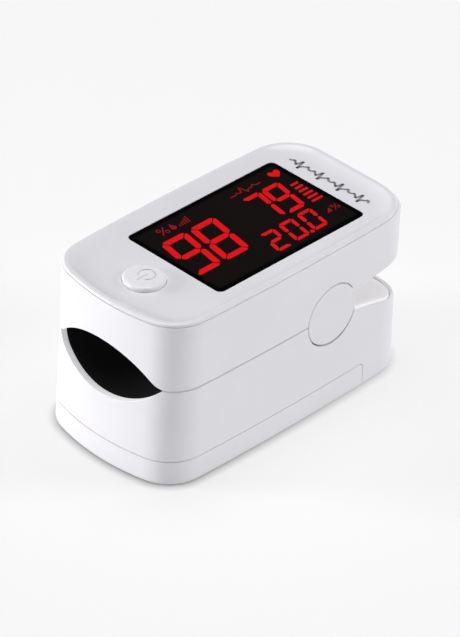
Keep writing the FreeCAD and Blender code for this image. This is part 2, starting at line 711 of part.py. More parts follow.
def lower_finger_pad():
    outer_r = TROUGH_R + PAD_T
    end_y = CHANNEL_END_Y + PAD_T
    pad = trough(outer_r, (-FAR, end_y)).cut(trough(TROUGH_R, (-FAR, CHANNEL_END_Y)))
    flange = block((-FAR, FAR), (-FAR, end_y), (18.1, 18.9)).cut(trough(outer_r - 0.1, (-FAR, FAR)))
    flange = flange.common(prism(WALL + FIT, (10, 18.9)))
    pad = fused([pad.common(prism(LIP + PAD_GAP, (10, 18.9))), flange])
    sides = both(block((13.6, FAR), (2.8, FAR), (10, 26)))
    optic = block((-OPTIC_HALF - FIT, OPTIC_HALF + FIT), (OPTIC_Y[0] - FIT, OPTIC_Y[1] + FIT), (8, 18))
    return pad.cut([optic] + sides)


def lower_screws():
    """Two screws up from the base into the liner's posts."""
    screws = []
    for x, y in LOWER_SCREWS:
        head = rod_z(1.6, x, y, (0.3, 1.25))
        shank = rod_z(0.82, x, y, (1.2, 11.0))
        screws += both(fused([head, shank]).cut(cross_slot(x, y, 0.3, 0.45)))
    return Part.makeCompound(screws)


def sensor_board():
    return block((-2.4, 2.4), (-10.4, -2.6), (11.3, 11.8))


def sensor_lens():
    solid = block((-OPTIC_HALF, OPTIC_HALF), OPTIC_Y, (11.85, 15.0))
    return solid.cut(trough(TROUGH_R + 0.02, (-FAR, FAR)))


# ---- cells and their contacts ----

def cell(side):
    """One AAA cell. The two lie head to tail."""
    can_y = cell_span(side)
    can = rod_y(CELL_R, CELL_X * side, can_y, CELL_Z)
    rims = [e for e in can.Edges if e.BoundBox.YLength < 1e-4]
    can = can.makeFillet(0.45, rims)
    if side > 0:
        nipple_y = (can_y[1] - 0.1, can_y[1] + NIPPLE_LENGTH)
    else:
        nipple_y = (can_y[0] - NIPPLE_LENGTH, can_y[0] + 0.1)
    return fused([can, rod_y(NIPPLE_R, CELL_X * side, nipple_y, CELL_Z)])


def cell_span(side):
    """Ends of a cell's can. Its nipple meets the plate at the rear on the right, at the front on the left."""
    if side > 0:
        high = CONTACT_Y[1] - NIPPLE_LENGTH - 0.02
        return (high - CELL_LENGTH, high)
    low = CONTACT_Y[0] + NIPPLE_LENGTH + 0.02
    return (low, low + CELL_LENGTH)


def contact_plate(x, y):
    plate = block(x, y, (3.2, 11.2))
    upright = [e for e in plate.Edges if e.BoundBox.YLength > 0.1 and e.BoundBox.XLength < 1e-4]
    return plate.makeFillet(0.8, upright)


def link_contact():
    """Plate at the front of the bay that joins the two cells."""
    return contact_plate((-9.8, 9.8), (CONTACT_Y[0] - CONTACT_T, CONTACT_Y[0]))


def rear_contact(side):
    x = sorted((1.4 * side, 9.8 * side))
    return contact_plate(x, (CONTACT_Y[1], CONTACT_Y[1] + CONTACT_T))


def bent_wire(points, radius):
    """Round wire bent through the points, mitred at each one."""
    ring = Part.Wire(Part.makeCircle(radius, points[0], points[1] - points[0]))
    mitred = 1
    return Part.makePolygon(points).makePipeShell([ring], True, False, mitred)


def contact_springs():
    """Tapered springs that press on the cells' flat ends."""
    front = spring_cone(CELL_X, CONTACT_Y[0], cell_span(1)[0], 1)
    rear = spring_cone(-CELL_X, CONTACT_Y[1], cell_span(-1)[1], -1)
    return Part.makeCompound([front, rear])


def spring_cone(x, plate_y, cell_y, direction):
    """Coil from a contact plate to a cell, along direction (+1 or -1 in Y)."""
    wire_r = 0.18
    turns = 2.5
    steps = 50
    wide_r = 3.4
    narrow_r = 2.2
    height = abs(cell_y - plate_y) - 2 * wire_r - 0.06
    points = []
    for i in range(steps + 1):
        part = i / steps
        angle = 2 * math.pi * turns * part
        r = wide_r + (narrow_r - wide_r) * part
        y = plate_y + direction * (wire_r + 0.03 + height * part)
        points.append(V(x + r * math.cos(angle), y, CELL_Z + r * math.sin(angle)))
    return bent_wire(points, wire_r)


# ---- hinge ----

def hinge_axle():
    axle = rod_x(AXLE_R, (-AXLE_HALF, AXLE_HALF), HINGE_Y, PARTING_Z)
    ends = [e for e in axle.Edges if e.BoundBox.XLength < 1e-4]
    return axle.makeChamfer(0.2, ends)


def hinge_cap(side):
    """Round cover over one end of the axle, flush with the casing's side."""
    disc = rod_x(CAP_R, (CAP_INNER_X, CAP_OUTER_X), HINGE_Y, PARTING_Z)
    rim = [e for e in disc.Edges if e.BoundBox.XLength < 1e-4 and e.BoundBox.XMin > CAP_OUTER_X - 0.01]
    disc = disc.makeFillet(0.18, rim)
    return disc if side > 0 else mirrored(disc)


def torsion_spring(side):
    """Coil round the axle with two legs to the rear, one up against the roof and one down on the deck."""
    coil_r = 1.95
    pitch = 0.8
    leg = 6.6
    per_turn = 20
    first = math.radians(101)       # angles from +Y towards +Z
    last = math.radians(-81.5 + 5 * 360)
    steps = round((last - first) / (2 * math.pi) * per_turn)
    points = []
    for i in range(steps + 1):
        angle = first + (last - first) * i / steps
        x = SPRING_X + pitch * (angle - first) / (2 * math.pi)
        points.append(V(side * x, HINGE_Y + coil_r * math.cos(angle), PARTING_Z + coil_r * math.sin(angle)))
    upper_tip = points[0] + V(0, math.sin(first), -math.cos(first)) * leg
    lower_tip = points[-1] + V(0, -math.sin(last), math.cos(last)) * leg
    return bent_wire([upper_tip] + points + [lower_tip], 0.28)


def flex_cable():
    """Flat cable from the main board down behind the fingertip stop to the photodiode's board."""
    half = 2.0
    t = 0.15
    lie_z = 11.45
    rise_y = 7.4
    bend = 0.9
    y0 = -2.6
    top_z = 26.3
    outer = [
        line(yz(y0, lie_z), yz(rise_y - bend, lie_z)),
        quarter(yz(rise_y - bend, lie_z + bend), bend),
        line(yz(rise_y, lie_z + bend), yz(rise_y, top_z)),
        line(yz(rise_y, top_z), yz(rise_y - t, top_z)),
        line(yz(rise_y - t, top_z), yz(rise_y - t, lie_z + bend)),
        quarter(yz(rise_y - bend, lie_z + bend), bend - t),
        line(yz(rise_y - bend, lie_z + t), yz(y0, lie_z + t)),
        line(yz(y0, lie_z + t), yz(y0, lie_z)),
    ]
    return side_solid(outer, (-half, half))


def quarter(centre, radius):
    """Quarter arc from straight below the centre round to level with it, on its +Y side."""
    low = centre + V(0, 0, -radius)
    mid = centre + V(0, radius * math.sqrt(0.5), -radius * math.sqrt(0.5))
    high = centre + V(0, radius, 0)
    return Part.Arc(low, mid, high).toShape()


# ---- battery cover ----

def battery_cover():
    shell = lower_outside().common(cover_space(0))
    hollow = below_flared(COVER_WALL - FLARE, COVER_WALL, (COVER_FLOOR, 10))
    shell = shell.cut(hollow)
    rail = fused([
        block((13.35, 14.15), RAIL_Y, (COVER_FLOOR - 0.1, 4.3)),
        block((12.5, 13.4), RAIL_Y, (3.65, 4.3)),
    ])
    shell = fused([shell] + both(rail))
    return shell.cut(cover_grip())


def cover_grip():
    """Thumb grip sunk in the underside: a shallow arrow and a row of grooves."""
    depth = 0.35
    z = (-1, depth)
    grooves = [block((-5.0, 5.0), (y, y + 0.7), z) for y in (-17.0, -15.4, -13.8, -12.2)]
    tip = -22.0
    arrow = Part.Face(Part.makePolygon([
        V(-2.6, tip + 3.0, -1), V(0, tip, -1), V(2.6, tip + 3.0, -1), V(-2.6, tip + 3.0, -1)]))
    return Part.makeCompound(grooves + [arrow.extrude(V(0, 0, depth + 1))])


# ---- everything ----

def build():
    return {
        "upper_shell": upper_shell(),
        "top_panel": top_panel(),
        "display_window": display_window(),
        "display_module": display_module(),
        "main_board": main_board(),
        "controller_chip": controller_chip(),
        "board_components": board_components(),
        "tact_switch": tact_switch(),
        "buzzer": buzzer(),
        "emitter_board": emitter_board(),
        "emitter_lens": emitter_lens(),
        "upper_inner_shell": upper_inner_shell(),
        "upper_finger_pad": upper_finger_pad(),
        "upper_screws": upper_screws(),
        "power_button": power_button(),
        "switch_plunger": switch_plunger(),
        "lower_shell": lower_shell(),
        "lower_inner_shell": lower_inner_shell(),
        "lower_finger_pad": lower_finger_pad(),
        "sensor_board": sensor_board(),
        "sensor_lens": sensor_lens(),
        "battery_left": cell(-1),
        "battery_right": cell(1),
        "front_link_contact": link_contact(),
        "rear_contact_left": rear_contact(-1),
        "rear_contact_right": rear_contact(1),
        "battery_springs": contact_springs(),
        "hinge_axle": hinge_axle(),
        "hinge_cap_left": hinge_cap(-1),
        "hinge_cap_right": hinge_cap(1),
        "torsion_spring_left": torsion_spring(-1),
        "torsion_spring_right": torsion_spring(1),
        "flex_cable": flex_cable(),
        "lower_screws": lower_screws(),
        "battery_cover": battery_cover(),
    }


os.makedirs("parts", exist_ok=True)
for name, shape in build().items():
    shape.exportStep("parts/" + name + ".step")
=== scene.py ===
import math
import bmesh
import bpy
from mathutils import Matrix, Vector


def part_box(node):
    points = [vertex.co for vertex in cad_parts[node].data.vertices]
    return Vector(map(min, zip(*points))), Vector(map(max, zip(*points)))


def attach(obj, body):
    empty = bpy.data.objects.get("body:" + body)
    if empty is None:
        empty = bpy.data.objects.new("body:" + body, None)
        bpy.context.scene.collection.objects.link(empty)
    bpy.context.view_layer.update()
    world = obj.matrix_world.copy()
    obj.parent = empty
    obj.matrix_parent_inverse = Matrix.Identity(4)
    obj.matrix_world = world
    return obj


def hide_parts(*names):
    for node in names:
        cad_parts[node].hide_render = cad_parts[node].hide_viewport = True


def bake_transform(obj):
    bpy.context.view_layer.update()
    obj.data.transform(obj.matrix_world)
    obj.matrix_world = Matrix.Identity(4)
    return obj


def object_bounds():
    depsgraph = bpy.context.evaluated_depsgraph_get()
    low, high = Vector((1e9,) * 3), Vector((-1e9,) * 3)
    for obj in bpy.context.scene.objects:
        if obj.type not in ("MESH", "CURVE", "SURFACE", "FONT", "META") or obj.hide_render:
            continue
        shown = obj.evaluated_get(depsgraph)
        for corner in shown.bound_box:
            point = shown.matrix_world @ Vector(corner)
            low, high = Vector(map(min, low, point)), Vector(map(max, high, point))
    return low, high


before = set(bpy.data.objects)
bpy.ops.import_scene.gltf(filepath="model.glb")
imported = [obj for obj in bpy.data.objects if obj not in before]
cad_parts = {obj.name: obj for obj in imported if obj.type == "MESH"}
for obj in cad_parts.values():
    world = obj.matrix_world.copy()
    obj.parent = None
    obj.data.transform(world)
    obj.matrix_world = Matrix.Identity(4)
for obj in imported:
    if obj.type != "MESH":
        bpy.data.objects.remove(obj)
cad_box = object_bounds()
MM = 0.001


# ---------------------------------------------------------------- node helpers

def new_material(name):
    mat = bpy.data.materials.new(name)
    mat.use_nodes = True
    tree = mat.node_tree
    return mat, tree, tree.nodes["Principled BSDF"]


def node(tree, kind, **values):
    made = tree.nodes.new(kind)
    for key, value in values.items():
        if key in made.inputs:
            made.inputs[key].default_value = value
        else:
            setattr(made, key, value)
    return made


def coords(tree, scale=1000.0):
    """Object coordinates in millimetres."""
    tex = tree.nodes.new("ShaderNodeTexCoord")
    mapping = node(tree, "ShaderNodeMapping")
    mapping.inputs["Scale"].default_value = (scale, scale, scale)
    tree.links.new(tex.outputs["Object"], mapping.inputs["Vector"])
    return mapping.outputs["Vector"]


def noise(tree, at, scale, detail=3.0, rough=0.55):
    tex = node(tree, "ShaderNodeTexNoise", Scale=scale, Detail=detail, Roughness=rough)
    tree.links.new(at, tex.inputs["Vector"])
    return tex.outputs["Fac"]


def ranged(tree, value, low, high, out_low, out_high, smooth=False):
    made = node(tree, "ShaderNodeMapRange")
    made.interpolation_type = "SMOOTHSTEP" if smooth else "LINEAR"
    tree.links.new(value, made.inputs["Value"])
    made.inputs["From Min"].default_value = low
    made.inputs["From Max"].default_value = high
    made.inputs["To Min"].default_value = out_low
    made.inputs["To Max"].default_value = out_high
    return made.outputs["Result"]


def maths(tree, operation, a, b=None):
    made = node(tree, "ShaderNodeMath", operation=operation)
    for socket, value in zip(made.inputs, (a, b)):
        if value is None:
            continue
        if isinstance(value, (int, float)):
            socket.default_value = value
        else:
            tree.links.new(value, socket)
    return made.outputs["Value"]


def mixed(tree, factor, a, b):
    """Colour mix. a and b are colours or sockets."""
    made = node(tree, "ShaderNodeMix", data_type="RGBA")
    for socket, value in ((made.inputs[6], a), (made.inputs[7], b)):
        if isinstance(value, (tuple, list)):
            socket.default_value = tuple(value) + (1.0,) if len(value) == 3 else value
        else:
            tree.links.new(value, socket)
    if isinstance(factor, (int, float)):
        made.inputs[0].default_value = factor
    else:
        tree.links.new(factor, made.inputs[0])
    return made.outputs[2]


def bumped(tree, shader, height, distance, strength=1.0, under=None):
    made = node(tree, "ShaderNodeBump", Strength=strength, Distance=distance)
    tree.links.new(height, made.inputs["Height"])
    if under is not None:
        tree.links.new(under, made.inputs["Normal"])
    if shader is not None:
        tree.links.new(made.outputs["Normal"], shader.inputs["Normal"])
    return made.outputs["Normal"]


def split(tree, at):
    made = node(tree, "ShaderNodeSeparateXYZ")
    tree.links.new(at, made.inputs["Vector"])
    return made.outputs


def inside(tree, value, low, high, soft):
    """1 between low and high, falling to 0 over soft."""
    rise = ranged(tree, value, low - soft, low + soft, 0.0, 1.0, True)
    fall = ranged(tree, value, high - soft, high + soft, 1.0, 0.0, True)
    return maths(tree, "MULTIPLY", rise, fall)


# ---------------------------------------------------------------- materials

FIELD_HALF_X = 10.1         # smoked field of the display window, in mm
FIELD_HALF_Y = 16.6
FIELD_FADE = 0.45           # half the width of its soft edge
SCOOP_Z = 29.3              # axis height and radius of the finger scoop in the lower jaw, in mm
SCOOP_R = 15.8
SCOOP_REACH = 0.03          # how far past that radius the lip's surface may lie
SCOOP_BACK_Y = -22.0        # the lip lies in front of this and below the parting line
SCOOP_TOP_Z = 18.95
SYMBOL_REACH = 3.0          # the on/off mark lies this near the button's axis and deeper than SYMBOL_SUNK
SYMBOL_SUNK = 0.04


def moulded_plastic(name, colour, roughness, grain, coat=0.0, tint=0.012):
    """Moulded ABS: spark-eroded fine grain, a slow flow variation in tone and gloss."""
    mat, tree, bsdf = new_material(name)
    at = coords(tree)
    flow = noise(tree, at, 0.09, 2.0)
    fine = noise(tree, at, 5.5, 4.0, 0.6)
    shade = tuple(c * (1.0 - tint * 2.0) for c in colour)
    tree.links.new(mixed(tree, ranged(tree, flow, 0.3, 0.7, 0.0, 1.0, True), shade, colour),
                   bsdf.inputs["Base Color"])
    patchy = maths(tree, "ADD", ranged(tree, flow, 0.3, 0.7, -0.02, 0.02),
                   ranged(tree, fine, 0.3, 0.7, roughness - 0.03, roughness + 0.03))
    tree.links.new(patchy, bsdf.inputs["Roughness"])
    wave = bumped(tree, None, noise(tree, at, 0.35, 2.0), 0.00002, 0.25)
    bumped(tree, bsdf, fine, grain * MM, 0.5, wave)
    bsdf.inputs["IOR"].default_value = 1.53
    if coat:
        bsdf.inputs["Coat Weight"].default_value = coat
        bsdf.inputs["Coat Roughness"].default_value = 0.12
    return mat


def silicone(name):
    """Black silicone with a velvety fine stipple."""
    mat, tree, bsdf = new_material(name)
    at = coords(tree)
    fine = noise(tree, at, 7.0, 3.0, 0.7)
    slow = noise(tree, at, 0.4, 3.0)
    black = mixed(tree, slow, (0.0075, 0.0075, 0.0077), (0.0120, 0.0119, 0.0119))
    tree.links.new(black, bsdf.inputs["Base Color"])
    tree.links.new(ranged(tree, fine, 0.3, 0.7, 0.62, 0.78), bsdf.inputs["Roughness"])
    bumped(tree, bsdf, fine, 0.00004, 0.6)
    bsdf.inputs["Specular IOR Level"].default_value = 0.14
    return mat


def tinted_window(name):
    """Polished dark acrylic: a smoked field inside a blacker printed border."""
    mat, tree, bsdf = new_material(name)
    at = coords(tree)
    axes = split(tree, at)
    low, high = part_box("display_window")
    middle_y = (low[1] + high[1]) / 2 / MM
    field = maths(tree, "MULTIPLY",
                  inside(tree, axes["X"], -FIELD_HALF_X, FIELD_HALF_X, FIELD_FADE),
                  inside(tree, axes["Y"], middle_y - FIELD_HALF_Y, middle_y + FIELD_HALF_Y, FIELD_FADE))
    speck = noise(tree, at, 3.0, 2.0)
    smoke = mixed(tree, speck, (0.0062, 0.0047, 0.0042), (0.0080, 0.0060, 0.0052))
    tree.links.new(mixed(tree, field, (0.0003, 0.0003, 0.0004), smoke), bsdf.inputs["Base Color"])
    smear = noise(tree, at, 0.25, 4.0, 0.6)
    tree.links.new(ranged(tree, smear, 0.35, 0.75, 0.10, 0.20), bsdf.inputs["Roughness"])
    bumped(tree, bsdf, noise(tree, at, 0.12, 1.0), 0.00001, 0.3)
    bsdf.inputs["Specular IOR Level"].default_value = 0.12
    return mat


def lit(name, colour, strength, depth=0.2):
    """Light through a diffusing segment: brighter grains and slow patches."""
    mat, tree, bsdf = new_material(name)
    at = coords(tree)
    slow = noise(tree, at, 0.8, 2.0)
    fine = noise(tree, at, 6.0, 2.0)
    patches = ranged(tree, slow, 0.3, 0.7, 1.0 - depth, 1.0)
    grains = ranged(tree, fine, 0.3, 0.7, -0.03, 0.03)
    level = maths(tree, "ADD", patches, grains)
    glow = mixed(tree, level, tuple(c * 0.55 for c in colour), colour)
    tree.links.new(glow, bsdf.inputs["Emission Color"])
    bsdf.inputs["Emission Strength"].default_value = strength
    bsdf.inputs["Base Color"].default_value = (0.02, 0.001, 0.001, 1)
    bsdf.inputs["Roughness"].default_value = 0.3
    bsdf.inputs["Specular IOR Level"].default_value = 0.2
    return mat


def painted_glow(mat, colour, strength, where=None):
    """Painted light: an even glow on a surface that is no lamp. where limits it to part of the surface."""
    tree = mat.node_tree
    bsdf = tree.nodes["Principled BSDF"]
    bsdf.inputs["Emission Strength"].default_value = strength
    if where is None:
        bsdf.inputs["Emission Color"].default_value = colour + (1.0,)
    else:
        tree.links.new(mixed(tree, where, (0.0, 0.0, 0.0), colour), bsdf.inputs["Emission Color"])


def on_scoop(mat):
    """1 on the lip of the finger scoop at the front of the lower shell, where the shell gets painted light.
    """
    tree = mat.node_tree
    axes = split(tree, coords(tree))
    across = maths(tree, "POWER", axes["X"], 2.0)
    above = maths(tree, "POWER", maths(tree, "SUBTRACT", axes["Z"], SCOOP_Z), 2.0)
    radius = maths(tree, "SQRT", maths(tree, "ADD", across, above))
    near = maths(tree, "LESS_THAN", radius, SCOOP_R + SCOOP_REACH)
    front = maths(tree, "LESS_THAN", axes["Y"], SCOOP_BACK_Y)
    low = maths(tree, "LESS_THAN", axes["Z"], SCOOP_TOP_Z)
    return maths(tree, "MULTIPLY", near, maths(tree, "MULTIPLY", front, low))


def in_symbol(mat):
    """1 in the on/off mark sunk in the button's flat top."""
    tree = mat.node_tree
    axes = split(tree, coords(tree))
    low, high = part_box("power_button")
    middle_x = (low[0] + high[0]) / 2 / MM
    middle_y = (low[1] + high[1]) / 2 / MM
    across = maths(tree, "POWER", maths(tree, "SUBTRACT", axes["X"], middle_x), 2.0)
    along = maths(tree, "POWER", maths(tree, "SUBTRACT", axes["Y"], middle_y), 2.0)
    near = maths(tree, "LESS_THAN", maths(tree, "SQRT", maths(tree, "ADD", across, along)), SYMBOL_REACH)
    sunk = maths(tree, "LESS_THAN", axes["Z"], high[2] / MM - SYMBOL_SUNK)
    return maths(tree, "MULTIPLY", near, sunk)


def painted_shade(mat, where, keep):
    """Painted shade in a sunk mark: the base colour times keep where the mask is 1."""
    tree = mat.node_tree
    base_input = tree.nodes["Principled BSDF"].inputs["Base Color"]
    base = base_input.links[0].from_socket
    tree.links.new(mixed(tree, where, base, mixed(tree, keep, (0.0, 0.0, 0.0), base)), base_input)


def printed_ink(name, colour):
    """Screen-printed ink with a fine grain."""
    mat, tree, bsdf = new_material(name)
    at = coords(tree)
    grain = noise(tree, at, 9.0, 3.0)
    tree.links.new(mixed(tree, grain, tuple(c * 0.85 for c in colour), colour), bsdf.inputs["Base Color"])
    tree.links.new(ranged(tree, grain, 0.3, 0.7, 0.38, 0.5), bsdf.inputs["Roughness"])
    bumped(tree, bsdf, grain, 0.00001, 0.4)
    return mat


def circuit_board(name, mask, dark):
    """Solder mask over copper tracks, with a fibre weave just showing."""
    mat, tree, bsdf = new_material(name)
    at = coords(tree)
    tracks = node(tree, "ShaderNodeTexBrick", Scale=0.55)
    tracks.inputs["Mortar Size"].default_value = 0.07
    tracks.inputs["Brick Width"].default_value = 1.4
    tracks.inputs["Row Height"].default_value = 0.7
    tree.links.new(at, tracks.inputs["Vector"])
    weave = node(tree, "ShaderNodeTexWave", Scale=2.0, Distortion=0.3)
    tree.links.new(at, weave.inputs["Vector"])
    base = mixed(tree, ranged(tree, weave.outputs["Fac"], 0.0, 1.0, 0.0, 0.25), mask, dark)
    raised = tuple(c * 1.7 for c in mask)
    tree.links.new(mixed(tree, tracks.outputs["Fac"], base, raised), bsdf.inputs["Base Color"])
    tree.links.new(ranged(tree, noise(tree, at, 2.0), 0.3, 0.7, 0.28, 0.42), bsdf.inputs["Roughness"])
    bumped(tree, bsdf, tracks.outputs["Fac"], 0.00004, 0.5)
    return mat


def metal(name, colour, roughness, streak_axis="X", stretch=12.0, bump=0.00001):
    """Drawn or ground metal with fine streaks along one axis."""
    mat, tree, bsdf = new_material(name)
    tex = tree.nodes.new("ShaderNodeTexCoord")
    mapping = node(tree, "ShaderNodeMapping")
    scale = [1000.0, 1000.0, 1000.0]
    scale["XYZ".index(streak_axis)] = 1000.0 / stretch
    mapping.inputs["Scale"].default_value = scale
    tree.links.new(tex.outputs["Object"], mapping.inputs["Vector"])
    streak = noise(tree, mapping.outputs["Vector"], 5.0, 4.0, 0.65)
    slow = noise(tree, coords(tree), 0.5, 2.0)
    dull = tuple(c * 0.78 for c in colour)
    shine = ranged(tree, slow, 0.3, 0.75, 0.0, 1.0)
    tree.links.new(mixed(tree, shine, dull, colour), bsdf.inputs["Base Color"])
    brushed = ranged(tree, streak, 0.3, 0.7, roughness - 0.07, roughness + 0.1)
    tree.links.new(brushed, bsdf.inputs["Roughness"])
    bumped(tree, bsdf, streak, bump, 0.5)
    bsdf.inputs["Metallic"].default_value = 1.0
    return mat


def matt_part(name, dark, light, roughness):
    """Small moulded or ceramic part."""
    mat, tree, bsdf = new_material(name)
    at = coords(tree)
    grain = noise(tree, at, 6.0, 4.0, 0.65)
    mottled = ranged(tree, grain, 0.3, 0.7, 0.0, 1.0)
    tree.links.new(mixed(tree, mottled, dark, light), bsdf.inputs["Base Color"])
    gritty = ranged(tree, grain, 0.3, 0.7, roughness - 0.06, roughness + 0.06)
    tree.links.new(gritty, bsdf.inputs["Roughness"])
    bumped(tree, bsdf, grain, 0.00002, 0.5)
    return mat


def clear_epoxy(name, colour):
    """Slightly cloudy cast epoxy over an optical part."""
    mat, tree, bsdf = new_material(name)
    at = coords(tree)
    cloud = noise(tree, at, 1.2, 3.0)
    tree.links.new(mixed(tree, cloud, tuple(c * 0.8 for c in colour), colour), bsdf.inputs["Base Color"])
    tree.links.new(ranged(tree, cloud, 0.3, 0.7, 0.08, 0.16), bsdf.inputs["Roughness"])
    bsdf.inputs["Transmission Weight"].default_value = 0.6
    bsdf.inputs["IOR"].default_value = 1.5
    return mat


def cell_skin(name, node_name, nipple_end):
    """Printed sleeve in two colours with a ring, over bare metal ends."""
    mat, tree, bsdf = new_material(name)
    at = coords(tree)
    low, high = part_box(node_name)
    y0, y1 = low[1] / MM, high[1] / MM
    y = split(tree, at)["Y"]
    if nipple_end > 0:
        sleeve = inside(tree, y, y0 + 0.6, y1 - 1.6, 0.04)
        collar = inside(tree, y, y1 - 12.0, y1 - 1.6, 0.05)
        ring = inside(tree, y, y1 - 12.8, y1 - 12.2, 0.03)
    else:
        sleeve = inside(tree, y, y0 + 1.6, y1 - 0.6, 0.04)
        collar = inside(tree, y, y0 + 1.6, y0 + 12.0, 0.05)
        ring = inside(tree, y, y0 + 12.2, y0 + 12.8, 0.03)
    grain = noise(tree, at, 4.0, 3.0)
    body = mixed(tree, grain, (0.020, 0.030, 0.045), (0.026, 0.038, 0.055))
    printed = mixed(tree, ring, mixed(tree, collar, body, (0.46, 0.30, 0.12)), (0.75, 0.75, 0.72))
    tree.links.new(mixed(tree, sleeve, (0.62, 0.61, 0.58), printed), bsdf.inputs["Base Color"])
    tree.links.new(maths(tree, "SUBTRACT", 1.0, sleeve), bsdf.inputs["Metallic"])
    tree.links.new(ranged(tree, grain, 0.3, 0.7, 0.22, 0.34), bsdf.inputs["Roughness"])
    bumped(tree, bsdf, sleeve, 0.00008, 0.6)
    return mat


def flat_cable(name):
    """Amber film with copper tracks running along it."""
    mat, tree, bsdf = new_material(name)
    at = coords(tree)
    x = split(tree, at)["X"]
    stripe = maths(tree, "PINGPONG", maths(tree, "ADD", x, 10.0), 0.25)
    track = ranged(tree, stripe, 0.10, 0.15, 0.0, 1.0, True)
    film = mixed(tree, noise(tree, at, 2.0), (0.30, 0.10, 0.012), (0.36, 0.13, 0.018))
    tree.links.new(mixed(tree, track, film, (0.42, 0.19, 0.05)), bsdf.inputs["Base Color"])
    tree.links.new(ranged(tree, track, 0.0, 1.0, 0.25, 0.38), bsdf.inputs["Roughness"])
    bumped(tree, bsdf, track, 0.00002, 0.5)
    return mat


white = moulded_plastic("shell_white", (0.886, 0.873, 0.908), 0.34, 0.018)
panel_white = moulded_plastic("panel_white", (0.880, 0.871, 0.906), 0.24, 0.008, coat=0.35)
deck_white = moulded_plastic("deck_white", (0.870, 0.852, 0.865), 0.30, 0.012)
# Painted light: a glow lifts the lip of the finger scoop, which the upper jaw shades.
painted_glow(white, (0.98, 0.98, 1.0), 0.37, on_scoop(white))
# Painted light: a warm glow lifts the whole deck, which lies in shade under the upper jaw's tail.
painted_glow(deck_white, (1.0, 0.955, 0.97), 0.24)
liner_white = moulded_plastic("liner_white", (0.80, 0.80, 0.82), 0.5, 0.03)
button_white = moulded_plastic("button_white", (0.900, 0.892, 0.925), 0.28, 0.010, coat=0.2)
# Painted light: a faint even glow lifts the button.
painted_glow(button_white, (0.98, 0.97, 1.0), 0.03)
# Painted shade: the sunk strokes of the on/off mark are darkened to 85 percent.
painted_shade(button_white, in_symbol(button_white), 0.85)
silicone_black = silicone("pad_black")
# Painted light: a faint glow lifts the black pads in the shaded mouth.
painted_glow(silicone_black, (1.0, 1.0, 1.0), 0.0017)
board_green = circuit_board("board_green", (0.010, 0.085, 0.035), (0.006, 0.050, 0.022))
spring_steel = metal("spring_steel", (0.52, 0.52, 0.53), 0.28)
nickel = metal("contact_nickel", (0.70, 0.68, 0.62), 0.24, "Z")
zinc = metal("screw_zinc", (0.60, 0.60, 0.58), 0.32, "Z", 3.0)
ground_steel = metal("axle_steel", (0.58, 0.58, 0.59), 0.2, "X", 20.0)
chip = matt_part("chip_black", (0.012, 0.012, 0.013), (0.022, 0.022, 0.023), 0.45)
ceramic = matt_part("smd_tan", (0.30, 0.19, 0.10), (0.42, 0.29, 0.17), 0.4)
reflector = matt_part("display_grey", (0.08, 0.08, 0.085), (0.12, 0.12, 0.125), 0.5)
epoxy = clear_epoxy("optic_clear", (0.75, 0.66, 0.66))

finishes = {
    "upper_shell": white, "lower_shell": white, "battery_cover": white,
    "hinge_cap_left": white, "hinge_cap_right": white,
    "top_panel": panel_white, "display_window": tinted_window("window_black"),
    "lower_inner_shell": deck_white, "upper_inner_shell": liner_white, "power_button": button_white,
    "upper_finger_pad": silicone_black, "lower_finger_pad": silicone_black,
    "main_board": board_green, "emitter_board": board_green, "sensor_board": board_green,
    "torsion_spring_left": spring_steel, "torsion_spring_right": spring_steel,
    "front_link_contact": nickel, "rear_contact_left": nickel, "rear_contact_right": nickel,
    "battery_springs": nickel, "tact_switch": nickel,
    "upper_screws": zinc, "lower_screws": zinc, "hinge_axle": ground_steel,
    "controller_chip": chip, "buzzer": chip, "switch_plunger": chip,
    "board_components": ceramic, "display_module": reflector,
    "emitter_lens": epoxy, "sensor_lens": epoxy,
    "battery_left": cell_skin("cell_left", "battery_left", -1),
    "battery_right": cell_skin("cell_right", "battery_right", 1),
    "flex_cable": flat_cable("flex_amber"),
}
for name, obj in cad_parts.items():
    obj.data.materials.clear()
    obj.data.materials.append(finishes[name])


# ------------------------------------------------------------ flat graphics, in mm: u along +Y, v along -X

LENS_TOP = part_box("display_window")[1][2]
ON_LENS = LENS_TOP + 0.003 * MM
ON_PANEL = LENS_TOP + 0.028 * MM
INK = 0.015 * MM            # thickness of every flat graphic


def flat_piece(name, outlines, base_z, thickness, material, body="upper_jaw"):
    """One mesh from closed outlines of (u, v) points."""
    bm = bmesh.new()
    for outline in outlines:
        corners = [bm.verts.new((-v * MM, u * MM, base_z)) for u, v in outline]
        face = bm.faces.new(corners)
        face.normal_update()
        if face.normal.z < 0:
            face.normal_flip()
        grown = bmesh.ops.extrude_face_region(bm, geom=[face])
        tops = [g for g in grown["geom"] if isinstance(g, bmesh.types.BMVert)]
        bmesh.ops.translate(bm, verts=tops, vec=(0, 0, thickness))
    bmesh.ops.recalc_face_normals(bm, faces=bm.faces)
    mesh = bpy.data.meshes.new(name)
    bm.to_mesh(mesh)
    bm.free()
    obj = bpy.data.objects.new(name, mesh)
    bpy.context.scene.collection.objects.link(obj)
    mesh.materials.append(material)
    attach(obj, body)
    return obj


def softened(outline, reach, steps=3):
    """Rounds each corner of a convex outline, cutting back at most reach."""
    made = []
    count = len(outline)
    for i, corner in enumerate(outline):
        here = Vector(corner)
        before = Vector(outline[i - 1]) - here
        after = Vector(outline[(i + 1) % count]) - here
        cut = min(reach, before.length * 0.45, after.length * 0.45)
        start = here + before.normalized() * cut
        end = here + after.normalized() * cut
        for k in range(steps + 1):
            t = k / steps
            made.append(tuple(start * (1 - t) ** 2 + here * (2 * t * (1 - t)) + end * t ** 2))
    return made


SLANT = 0.18                # lean of the figures
SEGMENTS = {"0": "abcdef", "2": "abged", "7": "abc", "8": "abcdefg", "9": "abcdfg"}


